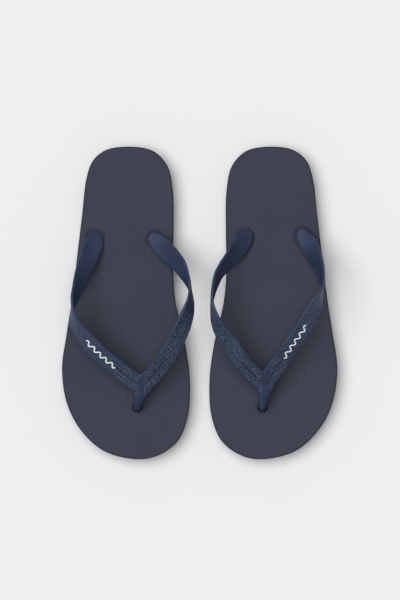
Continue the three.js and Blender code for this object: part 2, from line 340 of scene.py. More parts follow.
class NodeGraph:
    """A material's nodes, made and joined by short calls."""

    def __init__(self, name: str) -> None:
        """Starts a material with a surface shader and its output.

        Args:
            name: The material's name.
        """
        self.material = bpy.data.materials.new(name)
        self.material.use_nodes = True
        self.nodes = self.material.node_tree.nodes
        self.nodes.clear()
        self.shader = self.nodes.new("ShaderNodeBsdfPrincipled")
        output = self.nodes.new("ShaderNodeOutputMaterial")
        self.join(self.shader.outputs["BSDF"], output.inputs["Surface"])

    def join(self, source: Socket, target: Socket) -> None:
        """Links one socket to another."""
        self.material.node_tree.links.new(source, target)

    def feed(self, target: Socket, value: Value) -> None:
        """Sets a socket to a plain value, or links another socket to it.

        Args:
            target: The socket to feed.
            value: The plain value or the other socket.
        """
        if isinstance(value, Socket):
            self.join(value, target)
        else:
            target.default_value = value

    def surface(self, inputs: dict[str, Value]) -> None:
        """Feeds the surface shader.

        Args:
            inputs: Values by the names of the shader's sockets.
        """
        for name, value in inputs.items():
            self.feed(self.shader.inputs[name], value)

    def position(self) -> Socket:
        """Places on the piece, in metres."""
        return self.nodes.new("ShaderNodeTexCoord").outputs["Object"]

    def attribute(self, name: str) -> Socket:
        """A number that the mesh holds at each corner.

        Args:
            name: The attribute's name.

        Returns:
            The number.
        """
        node = self.nodes.new("ShaderNodeAttribute")
        node.attribute_name = name
        return node.outputs["Fac"]

    def noise(self, size: float, detail: float = 2, roughness: float = 0.5) -> Socket:
        """Cloudy noise.

        Args:
            size: How far across its features are, in metres.
            detail: How many finer layers lie over the first.
            roughness: How strong the finer layers are.

        Returns:
            A number about 0.5.
        """
        node = self.nodes.new("ShaderNodeTexNoise")
        self.join(self.position(), node.inputs["Vector"])
        node.inputs["Scale"].default_value = 1 / size
        node.inputs["Detail"].default_value = detail
        node.inputs["Roughness"].default_value = roughness
        return node.outputs["Fac"]

    def cells(self, size: float) -> Socket:
        """Irregular cells.

        Args:
            size: How far across they are, in metres.

        Returns:
            The distance to the middle of the nearest, in cell sizes.
        """
        node = self.nodes.new("ShaderNodeTexVoronoi")
        self.join(self.position(), node.inputs["Vector"])
        node.inputs["Scale"].default_value = 1 / size
        return node.outputs["Distance"]

    def spread(self, value: Value, low: float, high: float, to_low: float, to_high: float,
               smooth: bool = False) -> Socket:
        """A value moved from one range to another, and held inside it.

        Args:
            value: The value to move.
            low: Where its range starts.
            high: Where its range ends.
            to_low: What low becomes.
            to_high: What high becomes.
            smooth: Whether the change eases in and out.

        Returns:
            The moved value.
        """
        node = self.nodes.new("ShaderNodeMapRange")
        node.interpolation_type = "SMOOTHSTEP" if smooth else "LINEAR"
        self.feed(node.inputs["Value"], value)
        ranges = {"From Min": low, "From Max": high, "To Min": to_low, "To Max": to_high}
        for name, number in ranges.items():
            node.inputs[name].default_value = number
        return node.outputs["Result"]

    def math(self, operation: str, first: Value, second: Value = 0.0) -> Socket:
        """One step of arithmetic.

        Args:
            operation: The step's name, such as ADD.
            first: Its first number.
            second: Its second number, if it takes one.

        Returns:
            The result.
        """
        node = self.nodes.new("ShaderNodeMath")
        node.operation = operation
        self.feed(node.inputs[0], first)
        self.feed(node.inputs[1], second)
        return node.outputs[0]

    def times(self, first: Value, second: Value) -> Socket:
        """The product of two values."""
        return self.math("MULTIPLY", first, second)

    def sum_of(self, *values: Value) -> Socket:
        """The sum of several values.

        Args:
            values: What to add up.

        Returns:
            The sum.
        """
        total = values[0]
        for value in values[1:]:
            total = self.math("ADD", total, value)
        return total

    def mixed(self, share: Value, first: Value, second: Value) -> Socket:
        """A colour between two others.

        Args:
            share: How much of the second there is, from 0 to 1.
            first: The first colour.
            second: The second colour.

        Returns:
            The mixed colour.
        """
        node = self.nodes.new("ShaderNodeMix")
        node.data_type = "RGBA"
        self.feed(node.inputs["Factor"], share)
        colours = [socket for socket in node.inputs if socket.type == "RGBA"]
        self.feed(colours[0], first)
        self.feed(colours[1], second)
        return next(socket for socket in node.outputs if socket.type == "RGBA")

    def relief(self, height: Socket, depth: float) -> None:
        """Raises the surface.

        Args:
            height: How far, from 0 to 1.
            depth: What a height of 1 stands for, in metres.
        """
        node = self.nodes.new("ShaderNodeBump")
        node.inputs["Strength"].default_value = 1.0
        node.inputs["Distance"].default_value = depth
        self.join(height, node.inputs["Height"])
        self.join(node.outputs["Normal"], self.shader.inputs["Normal"])


def shade(red: float, green: float, blue: float) -> Colour:
    """A linear colour with full cover."""
    return red, green, blue, 1.0


def scaled(colour: Colour, share: float) -> Colour:
    """The same colour made lighter or darker."""
    return shade(*(share * part for part in colour[:3]))


@dataclass(frozen=True)
class FoamFinish:
    """Closed-cell foam: matte, with a very fine grain, faint clouds of tone and a darker cut edge, partly the
    cut cells' own tone and partly painted shade where the edge turns away from the light.
    """

    name: str
    colour: Colour
    worn: Colour
    cut_share: float = 0.55
    cloud_size: float = 35 * MM
    cloud_cover: float = 0.55
    speckle_size: float = 2.2 * MM
    speckle_cover: float = 0.3
    roughness: float = 0.78
    roughness_swing: float = 0.08
    gloss: float = 0.35
    sheen: float = 0.05
    sheen_roughness: float = 0.6
    grain_size: float = 0.9 * MM
    grain_depth: float = 0.09 * MM
    pore_share: float = 0.55

    def material(self) -> bpy.types.Material:
        """Makes the material.

        Returns:
            The material.
        """
        graph = NodeGraph(self.name)
        clouds = graph.noise(self.cloud_size, detail=3)
        speckle = graph.spread(graph.noise(self.speckle_size), 0.35, 0.7, 0, 1)
        tone = graph.sum_of(graph.spread(clouds, 0.35, 0.65, 0, self.cloud_cover),
                            graph.times(speckle, self.speckle_cover))
        face = graph.mixed(tone, self.colour, self.worn)
        # The cut edge's darker colour is partly the skived cells' own tone and partly painted shade of the
        # side wall.
        cut = scaled(self.colour, self.cut_share)
        grain = graph.noise(self.grain_size, detail=3, roughness=0.6)
        pores = graph.cells(self.pore_share * self.grain_size)
        smoothest, roughest = self.roughness - self.roughness_swing, self.roughness + self.roughness_swing
        graph.surface({
            "Base Color": graph.mixed(graph.attribute("cut_edge"), face, cut),
            "Roughness": graph.spread(grain, 0.3, 0.7, smoothest, roughest),
            "Specular IOR Level": self.gloss,
            "Sheen Weight": self.sheen,
            "Sheen Roughness": self.sheen_roughness,
        })
        graph.relief(graph.sum_of(graph.times(grain, 0.7), graph.times(pores, 0.5)), self.grain_depth)
        return graph.material


@dataclass(frozen=True)
class TreadFinish:
    """Denser moulded foam or rubber: darker, satin, with the stipple of its mould."""

    name: str
    colour: Colour
    worn: Colour
    dust_size: float = 9 * MM
    stipple_size: float = 1.1 * MM
    stipple_depth: float = 0.08 * MM
    roughness: Span = (0.55, 0.7)
    gloss: float = 0.4

    def material(self) -> bpy.types.Material:
        """Makes the material.

        Returns:
            The material.
        """
        graph = NodeGraph(self.name)
        stipple = graph.cells(self.stipple_size)
        dust = graph.spread(graph.noise(self.dust_size, detail=4), 0.45, 0.75, 0, 1)
        graph.surface({
            "Base Color": graph.mixed(dust, self.colour, self.worn),
            "Roughness": graph.spread(stipple, 0.1, 0.6, *self.roughness),
            "Specular IOR Level": self.gloss,
        })
        graph.relief(graph.spread(stipple, 0, 0.6, 1, 0), self.stipple_depth)
        return graph.material


@dataclass(frozen=True)
class StrapFinish:
    """Soft moulded PVC: satin, pebbled on the outer face of the front arms and smooth elsewhere, with painted
    glints on the pebble crowns and painted shade in the hollows between pebbles and in the groove.
    """

    name: str
    colour: Colour
    raised: Colour
    cloud_size: float = 22 * MM
    cloud_share: float = 1.35
    hollow_share: float = 0.45
    hollow_cover: float = 0.3
    raised_cover: float = 0.85
    pebble_size: float = 1.5 * MM
    pebble_depth: float = 0.75 * MM
    pebble_wall: Fade = (0.17, 0.65)
    haze_size: float = 0.5 * MM
    haze_height: float = 0.03
    line_pitch: float = 0.9 * MM
    line_height: float = 0.16
    roughness: Span = (0.46, 0.56)
    pebble_polish: float = 0.08
    gloss: float = 0.3

    def material(self) -> bpy.types.Material:
        """Makes the material.

        Returns:
            The material.
        """
        graph = NodeGraph(self.name)
        pebbled = graph.attribute("pebbled")
        dome = graph.spread(graph.cells(self.pebble_size), *self.pebble_wall, 1, 0, smooth=True)
        pebbles = graph.times(dome, pebbled)
        haze = graph.noise(self.haze_size)
        clouds = graph.spread(graph.noise(self.cloud_size), 0.35, 0.65, 0, 1)
        plain = graph.mixed(clouds, self.colour, scaled(self.colour, self.cloud_share))
        # Painted shade: pebbled areas and the groove are darkened, for the hollows between pebbles and the
        # groove's depth.
        crevice_shade = graph.sum_of(graph.times(pebbled, self.hollow_cover), graph.attribute("sunk"))
        shaded = graph.mixed(crevice_shade, plain, scaled(self.colour, self.hollow_share))
        satin = graph.spread(haze, 0.3, 0.7, *self.roughness)
        # The pebble crowns are mixed toward a lighter colour: a painted glint.
        graph.surface({
            "Base Color": graph.mixed(graph.times(pebbles, self.raised_cover), shaded, self.raised),
            "Roughness": graph.math("SUBTRACT", satin, graph.times(pebbles, self.pebble_polish)),
            "Specular IOR Level": self.gloss,
        })
        height = graph.sum_of(pebbles, graph.times(haze, self.haze_height), self.lines(graph))
        graph.relief(height, self.pebble_depth)
        return graph.material

    def lines(self, graph: NodeGraph) -> Socket:
        """Fine lines that run lengthwise on the smooth stripe over the yoke.

        Args:
            graph: The material's graph.

        Returns:
            Their height, as a share of a pebble's.
        """
        split = graph.nodes.new("ShaderNodeSeparateXYZ")
        graph.join(graph.position(), split.inputs[0])
        wave = graph.math("SINE", graph.times(split.outputs["X"], 2 * math.pi / self.line_pitch))
        return graph.times(graph.times(wave, graph.attribute("striped")), self.line_height)


@dataclass(frozen=True)
class MarkFinish:
    """White satin ink on a raised line, with the faint mottle of its print."""

    name: str
    colour: Colour
    dull_share: float = 0.9
    mottle_size: float = 0.8 * MM
    mottle_depth: float = 0.03 * MM
    roughness: Span = (0.38, 0.5)

    def material(self) -> bpy.types.Material:
        """Makes the material.

        Returns:
            The material.
        """
        graph = NodeGraph(self.name)
        mottle = graph.noise(self.mottle_size, detail=3)
        worn = graph.spread(mottle, 0.35, 0.7, 0, 1)
        graph.surface({
            "Base Color": graph.mixed(worn, self.colour, scaled(self.colour, self.dull_share)),
            "Roughness": graph.spread(mottle, 0.3, 0.7, *self.roughness),
        })
        graph.relief(mottle, self.mottle_depth)
        return graph.material


@dataclass(frozen=True)
class FloorFinish:
    """Seamless pale studio board, matte."""

    name: str
    colour: Colour
    tooth_size: float = 1.5 * MM
    tooth_depth: float = 0.02 * MM
    roughness: Span = (0.88, 0.95)
    gloss: float = 0.1

    def material(self) -> bpy.types.Material:
        """Makes the material.

        Returns:
            The material.
        """
        graph = NodeGraph(self.name)
        tooth = graph.noise(self.tooth_size)
        graph.surface({
            "Base Color": self.colour,
            "Roughness": graph.spread(tooth, 0.3, 0.7, *self.roughness),
            "Specular IOR Level": self.gloss,
        })
        graph.relief(tooth, self.tooth_depth)
        return graph.material


# --- Sole -----------------------------------------------------------------------------------------------


@dataclass
class Last:
    """The shoe's plan: its place in the pair, its outline, where it bends and where the strap is held."""

    foot: Foot
    length: float = 280 * MM
    ball_width: float = 115 * MM
    heel_width: float = 81 * MM
    heel_offset: float = 2 * MM
    toe_anchor: tuple[float, float] = (10 * MM, -93.52 * MM)
    lateral_anchor: tuple[float, float] = (-27 * MM, 59.36 * MM)
    medial_anchor: tuple[float, float] = (25 * MM, 57.96 * MM)
    bend_start: float = 10 * MM
    bend_end: float = -60 * MM
    hinge: Vector = field(init=False)

    def __post_init__(self) -> None:
        """Reads the shoe's place and bend line from its joint in the frame."""
        joint = next(j for j in frame["joints"] if j["name"] == f"{self.foot.word}_sole_flex")
        self.hinge = Vector(joint["pos_m"])

    @property
    def top(self) -> float:
        """The height of the footbed."""
        return self.hinge.z

    def ball(self, across: float, along: float) -> tuple[float, float]:
        """A point by the ball's half width and the sole's half length."""
        return across * self.ball_width / 2, along * self.length / 2

    def heel(self, across: float, along: float) -> tuple[float, float]:
        """A point by the heel's half width and the sole's half length."""
        return self.heel_offset + across * self.heel_width / 2, along * self.length / 2

    def outline(self, count: int) -> np.ndarray:
        """The sole's outline in the shoe's own frame, from the back of the heel down the medial side.

        Args:
            count: How many points.

        Returns:
            One row of x and y for each point.
        """
        ball, heel = self.ball, self.heel
        points = [
            heel(0, 1), heel(0.55, 0.972), heel(0.87, 0.875), heel(0.985, 0.72), heel(1, 0.46),
            heel(0.99, 0.2), ball(0.775, 0), ball(0.92, -0.26), ball(0.995, -0.5), ball(0.955, -0.74),
            ball(0.77, -0.9), ball(0.34, -0.995), ball(-0.3, -0.955), ball(-0.69, -0.82),
            ball(-0.92, -0.64), ball(-0.995, -0.42), ball(-0.925, -0.2), ball(-0.835, 0.04),
            heel(-1.12, 0.32), heel(-1.02, 0.56), heel(-0.92, 0.8), heel(-0.78, 0.91), heel(-0.5, 0.977),
        ]
        return Spline(np.array(points), closed=True).evenly(count)

    def place(self, vertices: np.ndarray) -> np.ndarray:
        """Moves corners from the shoe's own frame to its place in the pair.

        Args:
            vertices: One row for each corner.

        Returns:
            The moved rows.
        """
        placed = np.array(vertices, float)
        placed[:, 0] = self.hinge.x - self.foot.value * placed[:, 0]
        return placed

    def anchor(self, side: Side) -> tuple[float, float]:
        """Where the rear neck of one arm goes into the sole."""
        return self.medial_anchor if side is Side.MEDIAL else self.lateral_anchor

    def anchors(self) -> list[tuple[float, float]]:
        """Where the toe post and the two rear necks go into the sole."""
        return [self.toe_anchor, self.lateral_anchor, self.medial_anchor]

    def bend(self, piece: bpy.types.Object) -> None:
        """Bakes a piece's transform into its mesh; it sets up no bending.

        Args:
            piece: The piece.
        """
        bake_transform(piece)


@dataclass(frozen=True)
class StrapLie:
    """How a soft strap lies: where its arms meet, and listed places on the middle line of each arm.

    A place holds across and along in halves of the ball width and of the sole length, the lift over the
    footbed in instep heights, and the tilt in degrees.
    """

    yoke: tuple[float, float]
    lateral: tuple[tuple[float, float, float, float], ...]
    medial: tuple[tuple[float, float, float, float], ...]
    tip_overhang: float = 5 * MM

    def places(self, side: Side) -> tuple[tuple[float, float, float, float], ...]:
        """The places of one arm, from the yoke to the rear."""
        return self.lateral if side is Side.LATERAL else self.medial

    def rear_direction(self, side: Side, last: Last) -> tuple[float, float]:
        """The direction in which an arm comes down to its anchor, seen from above.

        Args:
            side: Which arm.
            last: The shoe's plan.

        Returns:
            The share of x and of y.
        """
        spot, anchor = last.ball(*self.places(side)[-1][:2]), last.anchor(side)
        run = (anchor[0] - spot[0], anchor[1] - spot[1])
        length = math.hypot(*run)
        return run[0] / length, run[1] / length


LIES = {
    Foot.RIGHT: StrapLie(
        yoke=(14.8 * MM, -74.48 * MM),
        lateral=(
            (-0.243, -0.371, 0.73, 34), (-0.47, -0.286, 0.86, 34), (-0.65, -0.203, 0.93, 45),
            (-0.78, -0.125, 0.95, 60), (-0.815, -0.06, 0.92, 79), (-0.79, 0.021, 0.83, 106),
            (-0.73, 0.1, 0.69, 124), (-0.666, 0.181, 0.53, 140), (-0.583, 0.277, 0.33, 155),
            (-0.515, 0.355, 0.17, 165),
        ),
        medial=(
            (0.52, -0.407, 0.71, 30), (0.69, -0.309, 0.86, 32), (0.815, -0.209, 0.96, 34),
            (0.905, -0.126, 1.0, 43), (0.98, -0.036, 0.99, 60), (1.01, 0.03, 0.95, 77),
            (0.99, 0.11, 0.85, 97), (0.86, 0.226, 0.6, 130), (0.72, 0.295, 0.41, 147),
            (0.585, 0.35, 0.24, 160),
        ),
    ),
    Foot.LEFT: StrapLie(
        yoke=(8 * MM, -72.52 * MM),
        lateral=(
            (-0.075, -0.385, 0.66, 33), (-0.265, -0.268, 0.8, 38), (-0.454, -0.154, 0.92, 38),
            (-0.563, -0.07, 0.98, 42), (-0.647, -0.006, 1.0, 55), (-0.711, 0.055, 0.97, 74),
            (-0.743, 0.106, 0.92, 92), (-0.718, 0.201, 0.72, 112), (-0.659, 0.278, 0.48, 130),
            (-0.574, 0.349, 0.25, 148),
        ),
        medial=(
            (0.43, -0.404, 0.69, 33), (0.556, -0.337, 0.8, 37), (0.68, -0.249, 0.9, 41),
            (0.812, -0.181, 0.97, 50), (0.885, -0.121, 1.0, 63), (0.929, -0.062, 1.0, 76),
            (0.958, 0.01, 0.96, 90), (0.877, 0.161, 0.78, 111), (0.788, 0.224, 0.62, 122),
            (0.647, 0.294, 0.42, 138), (0.537, 0.356, 0.26, 152),
        ),
        tip_overhang=7.5 * MM,
    ),
}


@dataclass
class SoleLayer:
    """One cemented layer of the sole, from heel to toe in one piece."""

    last: Last
    name: str
    bottom: float
    top: float
    top_rounding: float
    bottom_rounding: float
    finish: FoamFinish | TreadFinish
    around: int = 320
    rings: int = 22
    edge_steps: int = 5
    spine_share: float = 0.74
    closing_share: float = 0.93
    sharp_angle: float = 38
    post_hole: float = 4.5 * MM
    neck_hole: float = 4.3 * MM
    drill_overrun: float = 5 * MM

    def lay_out(self, count: int) -> tuple[np.ndarray, np.ndarray, np.ndarray]:
        """The outline, its inward directions and the spine that the rings close on.

        Args:
            count: How many points.

        Returns:
            Three arrays of x and y, one row for each point of the outline.
        """
        edge = self.last.outline(count)
        tangent = unit(np.roll(edge, -1, axis=0) - np.roll(edge, 1, axis=0))
        inward = np.column_stack([tangent[:, 1], -tangent[:, 0]])
        right, left = edge[:count // 2], edge[count // 2:]
        along = self.spine_share * edge[:, 1]
        middle = 0.5 * (np.interp(along, right[::-1, 1], right[::-1, 0])
                        + np.interp(along, left[:, 1], left[:, 0]))
        return edge, inward, np.column_stack([middle, along])

    def seat(self) -> tuple[np.ndarray, np.ndarray, np.ndarray]:
        """The outline, inward directions and spine at the layer's own points."""
        return self.lay_out(self.around)

    def side_profile(self) -> list[tuple[float, float]]:
        """The edge's section, from the bottom face up to the top face.

        Returns:
            Rows of inset and height.
        """
        low, high = self.bottom_rounding, self.top_rounding
        steps = np.linspace(0, math.pi / 2, self.edge_steps)
        lower = [(low * (1 - math.sin(a)), self.bottom + low * (1 - math.cos(a))) for a in steps]
        upper = [(high * (1 - math.cos(a)), self.top - high * (1 - math.sin(a))) for a in steps]
        return lower + upper

    def top_face(self, x: np.ndarray, y: np.ndarray) -> np.ndarray:
        """How far the top face stands above its nominal height, at places in the shoe's own frame."""
        return np.zeros_like(x)

    def bottom_face(self, ring: float, spot: np.ndarray) -> np.ndarray:
        """How far the bottom face is cut up into the layer, by the ring and by the points round it."""
        return np.zeros_like(spot)

    def build(self) -> bpy.types.Object:
        """Makes the layer's mesh, with the holes that the strap passes through.

        Returns:
            The object, in its place.
        """
        edge, inward, spine = self.seat()
        spot = np.arange(self.around)
        rings: list[np.ndarray] = []
        base = edge + inward * self.bottom_rounding
        for share in self.bottom_shares():
            flat = base + (spine - base) * share
            rings.append(np.column_stack([flat, self.bottom + self.bottom_face(share, spot)]))
        rings.reverse()
        for inset, height in self.side_profile():
            rings.append(np.column_stack([edge + inward * inset, np.full(self.around, height)]))
        crown = edge + inward * self.top_rounding
        for share in np.linspace(0, self.closing_share, self.rings)[1:]:
            flat = crown + (spine - crown) * share
            height = self.top + self.top_face(flat[:, 0], flat[:, 1])
            rings.append(np.column_stack([flat, height]))
        vertices = self.last.place(np.vstack(rings))
        name = f"{self.last.foot.word}_{self.name}"
        piece = new_mesh(name, vertices, tube_faces(len(rings), self.around))
        self.mark_cut_edge(piece, len(rings))
        split_large_faces(piece)
        cut_away(piece, self.cutters())
        piece.data.set_sharp_from_angle(angle=math.radians(self.sharp_angle))
        return piece

    def mark_cut_edge(self, piece: bpy.types.Object, rings: int) -> None:
        """Marks the corners of the cut edge, so that its finish can be darker there: partly the cut cells'
        own tone, partly painted shade of the side wall.

        Args:
            piece: The layer as built ring by ring, before its holes are cut.
            rings: How many rings it has.
        """
        # The mark carries the cut cells' darker tone and painted shade of the side wall.
        share = np.zeros(rings)
        first = len(self.bottom_shares())
        last = first + len(self.side_profile())
        share[first:last] = 1
        share[last - 2:last] = (0.75, 0.3)  # It fades out over the rounding of the top edge.
        values = np.repeat(share, self.around)
        rest = np.zeros(len(piece.data.vertices) - len(values))
        mark_corners(piece, "cut_edge", np.concatenate([values, rest]))

    def bottom_shares(self) -> np.ndarray:
        """Where the bottom face's rings lie between the edge and the spine."""
        return np.linspace(0, self.closing_share, self.rings)[1:]

    def cutters(self) -> list[bpy.types.Object]:
        """The round solids to cut out for the post and the two necks."""
        radii = (self.post_hole, self.neck_hole, self.neck_hole)
        return [self.drill(spot, radius) for spot, radius in zip(self.last.anchors(), radii)]

    def drill(self, spot: tuple[float, float], radius: float) -> bpy.types.Object:
        """A round solid through the layer.

        Args:
            spot: Its axis in the shoe's own frame.
            radius: Its radius.

        Returns:
            The object.
        """
        x, y, _ = self.last.place(np.array([[spot[0], spot[1], 0]]))[0]
        heights = (self.bottom - self.drill_overrun, self.top + self.drill_overrun)
        return cutting_rod(x, y, radius, heights)

    def dress(self, piece: bpy.types.Object) -> None:
        """Gives the layer its finish, hides the CAD parts that it stands for and bakes its transform.

        Args:
            piece: The layer.
        """
        piece.data.materials.clear()
        piece.data.materials.append(self.finish.material())
        word = self.last.foot.word
        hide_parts(f"{word}_rear_{self.name}", f"{word}_fore_{self.name}")
        self.last.bend(piece)


@dataclass
class Footbed(SoleLayer):
    """The top sheet that the foot stands on, pressed in where the strap is anchored."""

    around: int = 480
    rings: int = 40
    dimple_depth: float = 1.2 * MM
    dimple_reach: float = 7.0 * MM
    seat_depth: float = 1.7 * MM
    seat_margin: float = 1.2 * MM
    seat_width: float = 8.0 * MM
    seat_wall: Fade = (0.86, 1.2)

    def top_face(self, x: np.ndarray, y: np.ndarray) -> np.ndarray:
        """The dimple round the toe post and the pressed seats of the two tongues.

        Args:
            x: Places across the shoe.
            y: Places along it.

        Returns:
            How far the top face stands above its nominal height at each place.
        """
        toe = self.last.toe_anchor
        away = np.hypot(x - toe[0], y - toe[1])
        height = -self.dimple_depth * np.exp(-((away / self.dimple_reach) ** 2))
        lie = LIES[self.last.foot]
        for side in Side:
            anchor, rear = self.last.anchor(side), lie.rear_direction(side, self.last)
            along = (x - anchor[0]) * rear[0] + (y - anchor[1]) * rear[1]
            across = (x - anchor[0]) * rear[1] - (y - anchor[1]) * rear[0]
            reach = np.hypot(along / (lie.tip_overhang + self.seat_margin), across / self.seat_width)
            height -= self.seat_depth * (1 - smooth_step(reach, *self.seat_wall))
        return height


@dataclass
class Outsole(SoleLayer):
    """The tread layer: ribs across the shoe inside a plain rim, and wells for the strap's plugs."""

    ribs: int = 96
    groove_depth: float = 1.1 * MM
    well_radius: float = 11 * MM
    border_rings: tuple[float, ...] = (0.07, 0.1, 0.105, 0.135, 0.14)
    ribbed: tuple[float, float] = (0.17, 0.74)
    ribbed_rings: int = 12
    closing_rings: tuple[float, float] = (0.76, 0.93)
    fineness: int = 10
    rib_points: tuple[int, ...] = (0, 22, 26, 36)

    def __post_init__(self) -> None:
        """Sets four outline points to each rib, two on its top and two in the groove beside it."""
        self.around = 4 * self.ribs

    def bottom_shares(self) -> np.ndarray:
        """Rings at the rim, at the border groove and across the ribbed field."""
        ribbed = np.linspace(*self.ribbed, self.ribbed_rings)
        return np.array([*self.border_rings, *ribbed, *self.closing_rings])

    def bottom_face(self, ring: float, spot: np.ndarray) -> np.ndarray:
        """Grooves: one that follows the rim, and one beside each rib.

        Args:
            ring: Where the ring lies between the edge and the spine.
            spot: Numbers of the points round the ring.

        Returns:
            How far the bottom face is cut up into the layer at each point.
        """
        if self.border_rings[1] < ring < self.border_rings[-1]:
            return np.full(len(spot), self.groove_depth)
        if self.ribbed[0] <= ring <= self.ribbed[1]:
            return np.where(spot % 4 >= 2, self.groove_depth, 0.0)
        return np.zeros(len(spot))

    def seat(self) -> tuple[np.ndarray, np.ndarray, np.ndarray]:
        """The outline with its points moved together, so that ribs are wide and grooves narrow.

        Returns:
            The outline, its inward directions and the spine at those points.
        """
        edge, inward, spine = self.lay_out(self.fineness * self.around)
        rib, corner = np.divmod(np.arange(self.around), 4)
        picks = rib * 4 * self.fineness + np.array(self.rib_points)[corner]
        return edge[picks], inward[picks], spine[picks]

    def cutters(self) -> list[bpy.types.Object]:
        """The wells for the three plugs."""
        return [self.drill(spot, self.well_radius) for spot in self.last.anchors()]


# --- Strap ----------------------------------------------------------------------------------------------


@dataclass
class Arm:
    """One arm of the strap, a band that twists from face up at the yoke to face down at the rear."""

    last: Last
    side: Side
    width: float = 18 * MM
    thickness: float = 3 * MM
    instep_height: float = 34 * MM
    yoke_height: float = 17 * MM
    yoke_tilt: float = 26
    tip_tilt: float = 172
    tip_height: float = 0.15 * MM
    samples: int = 800
    stations: int = 220
    around: int = 40
    squareness: float = 4.5
    tip_blunting: float = 0.995

    def __post_init__(self) -> None:
        """Lays out the middle line and its twist, and measures along it."""
        top = self.last.top
        lie = LIES[self.last.foot]
        line = [(*lie.yoke, top + self.yoke_height)]
        tilts = [self.yoke_tilt]
        for across, along, lift, tilt in lie.places(self.side):
            x, y = self.last.ball(across, along)
            line.append((x, y, top + lift * self.instep_height))
            tilts.append(tilt)
        run = np.array(self.last.anchor(self.side)) - np.array(line[-1][:2])
        run *= 1 + lie.tip_overhang / np.linalg.norm(run)
        line.append((line[-1][0] + run[0], line[-1][1] + run[1], top + self.tip_height))
        tilts.append(self.tip_tilt)
        self.line = Spline(np.array(line))
        self.tilts = np.array(tilts, float)
        self.t = np.linspace(0, 1, self.samples)
        self.middles = self.line.at(self.t)
        self.run = run_along(self.middles)

    def tilt(self, t: np.ndarray) -> np.ndarray:
        """The turn of the band about its middle line, by a uniform Catmull-Rom curve.

        Args:
            t: Places, from 0 at the yoke to 1 at the tip.

        Returns:
            The turn at each place, in radians.
        """
        padded = np.concatenate([[2 * self.tilts[0] - self.tilts[1]], self.tilts,
                                 [2 * self.tilts[-1] - self.tilts[-2]]])
        place = np.clip(t, 0, 1) * (len(self.tilts) - 1)
        start = np.minimum(place.astype(int), len(self.tilts) - 2)
        s = place - start
        a, b, c, d = (padded[start + step] for step in range(4))
        leave, arrive = (c - a) / 2, (d - b) / 2
        turned = b + leave * s + (3 * (c - b) - 2 * leave - arrive) * s**2
        turned += (2 * (b - c) + leave + arrive) * s**3
        return np.radians(turned)

    def frames(self, t: np.ndarray) -> tuple[np.ndarray, np.ndarray, np.ndarray, np.ndarray]:
        """The band's middle and its directions at places along it.

        Args:
            t: Places, from 0 at the yoke to 1 at the tip.

        Returns:
            The middles, and the directions along, across toward the foot, and out of the outer face.
        """
        step = 1e-4
        middle = self.line.at(t)
        along = unit(self.line.at(np.minimum(t + step, 1)) - self.line.at(np.maximum(t - step, 0)))
        level = unit(np.column_stack([-along[:, 1], along[:, 0], np.zeros(len(along))]) * self.side.value)
        up = np.cross(along, level) * self.side.value
        tilt = self.tilt(t)[:, None]
        across = level * np.cos(tilt) + up * np.sin(tilt)
        out = up * np.cos(tilt) - level * np.sin(tilt)
        return middle, along, across, out

    def width_at(self, t: np.ndarray) -> np.ndarray:
        """The band's width, which closes to a round end at the rear.

        Args:
            t: Places, from 0 at the yoke to 1 at the tip.

        Returns:
            The width at each place.
        """
        round_from = 1 - 1 / (len(self.tilts) - 1)
        into = np.clip((t - round_from) / (1 - round_from), 0, self.tip_blunting)
        return self.width * np.sqrt(1 - into**2)

    def band(self) -> Solid:
        """The plain band as a closed tube.

        Returns:
            The corners and the faces.
        """
        t = np.sin(np.linspace(0, math.pi / 2, self.stations))
        middle, _, across, out = self.frames(t)
        widths = self.width_at(t)
        sections = []
        for k in range(len(t)):
            ring = superellipse(widths[k] / 2, self.thickness / 2, self.around, self.squareness)
            sections.append(middle[k] + ring[:, :1] * across[k] + ring[:, 1:] * out[k])
        return lofted(np.array(sections))

    def locate(self, vertices: np.ndarray) -> tuple[np.ndarray, ...]:
        """Where corners lie on the band.

        Args:
            vertices: One row for each corner.

        Returns:
            Distance along from the yoke, across, out of the middle, the width there and the out direction.
        """
        nearest = np.empty(len(vertices), int)
        batch = 4096
        for start in range(0, len(vertices), batch):
            chunk = vertices[start:start + batch]
            gaps = ((chunk[:, None, :] - self.middles[None]) ** 2).sum(2)
            nearest[start:start + batch] = gaps.argmin(1)
        t = self.t[nearest]
        middle, along, _, _ = self.frames(t)
        speed = np.gradient(self.run, self.t)[nearest]
        offset = ((vertices - middle) * along).sum(1)
        t = np.clip(t + offset / speed, 0, 1)
        middle, _, across, out = self.frames(t)
        away = vertices - middle
        distance = np.interp(t, self.t, self.run)
        return distance, (away * across).sum(1), (away * out).sum(1), self.width_at(t), out

    def t_of(self, distance: np.ndarray) -> np.ndarray:
        """Places by their distance from the yoke along the middle line."""
        return np.interp(distance, self.run, self.t)


